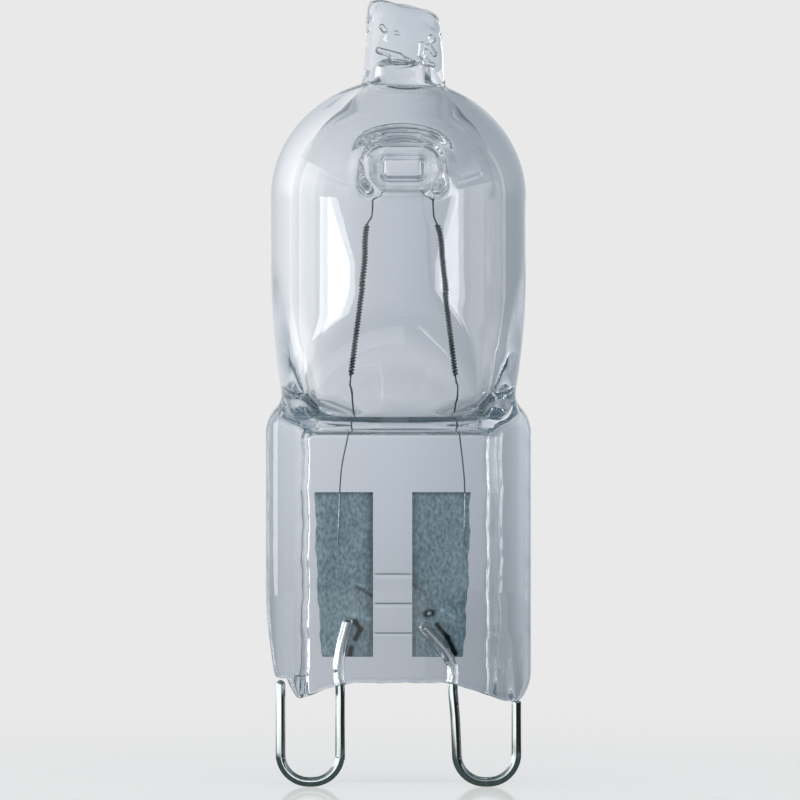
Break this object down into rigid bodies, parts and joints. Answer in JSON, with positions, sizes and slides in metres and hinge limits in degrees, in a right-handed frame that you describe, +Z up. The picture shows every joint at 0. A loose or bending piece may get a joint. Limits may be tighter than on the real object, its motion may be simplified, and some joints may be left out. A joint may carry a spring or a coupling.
{
  "type": "halogen capsule bulb",
  "caption": "Clear quartz halogen capsule bulb: domed tube with a coiled filament, pressed dents and an exhaust stub, above a flat pinch with sealed foils and wire-loop contacts.",
  "frame": {"origin": "on the lamp's axis at the lower end of the glass pinch, where the lampholder takes it", "axes": "+Z up along the lamp towards the exhaust stub, +X to the right across the two loops, -Y to the front of the flat pinch"},
  "size_m": [0.0136, 0.013, 0.0402],
  "materials": {
    "quartz": "clear and fire-polished",
    "tungsten": "drawn wire, dull grey",
    "molybdenum": "thin creased foil",
    "contact_wire": "bright plated wire"
  },
  "bodies": {
    "root": {"quartz_envelope": "quartz", "filament": "tungsten", "foil_left": "molybdenum", "foil_right": "molybdenum", "terminal_left": "contact_wire", "terminal_right": "contact_wire"}
  },
  "joints": []
}
